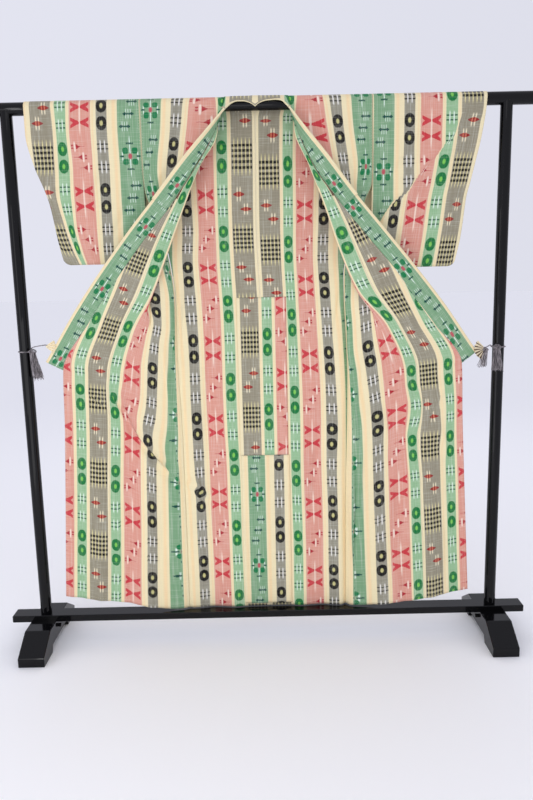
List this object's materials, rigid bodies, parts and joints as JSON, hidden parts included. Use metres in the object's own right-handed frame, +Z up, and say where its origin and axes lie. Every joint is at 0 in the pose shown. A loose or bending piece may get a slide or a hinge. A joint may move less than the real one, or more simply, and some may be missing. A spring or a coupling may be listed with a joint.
{
  "type": "tsumugi kimono on a kimono rack",
  "caption": "Unlined tsumugi kimono in woven stripes of small motifs, hung open on a lacquered rack by its bar, with the collar ends tied back to the posts.",
  "frame": {"origin": "on the floor, midway between the two posts", "axes": "+Z up, +X to the viewer's right, the viewer on the -Y side"},
  "size_m": [1.6, 0.348, 1.6263],
  "materials": {
    "tsumugi_cloth": "matt slubbed silk, woven stripes",
    "collar_lining": "matt silk",
    "tie_cord": "twisted silk cord",
    "lacquer": "gloss black lacquer"
  },
  "bodies": {
    "root": {"body_left": "tsumugi_cloth", "body_right": "tsumugi_cloth", "okumi_left": "tsumugi_cloth", "okumi_right": "tsumugi_cloth", "sleeve_left": "tsumugi_cloth", "sleeve_right": "tsumugi_cloth", "collar": "tsumugi_cloth", "over_collar": "tsumugi_cloth", "seat_strip_upper": "tsumugi_cloth", "seat_strip_lower": "tsumugi_cloth", "collar_pinch_left": "collar_lining", "collar_pinch_right": "collar_lining", "tie_cord_left": "tie_cord", "tie_cord_right": "tie_cord", "tie_loop_left": "tie_cord", "tie_loop_right": "tie_cord", "tassel_left": "tie_cord", "tassel_right_inner": "tie_cord", "tassel_right_outer": "tie_cord", "top_bar": "lacquer", "post_left": "lacquer", "post_right": "lacquer", "lower_rail": "lacquer", "foot_left": "lacquer", "foot_right": "lacquer", "peg_left": "lacquer", "peg_right": "lacquer"}
  },
  "joints": []
}
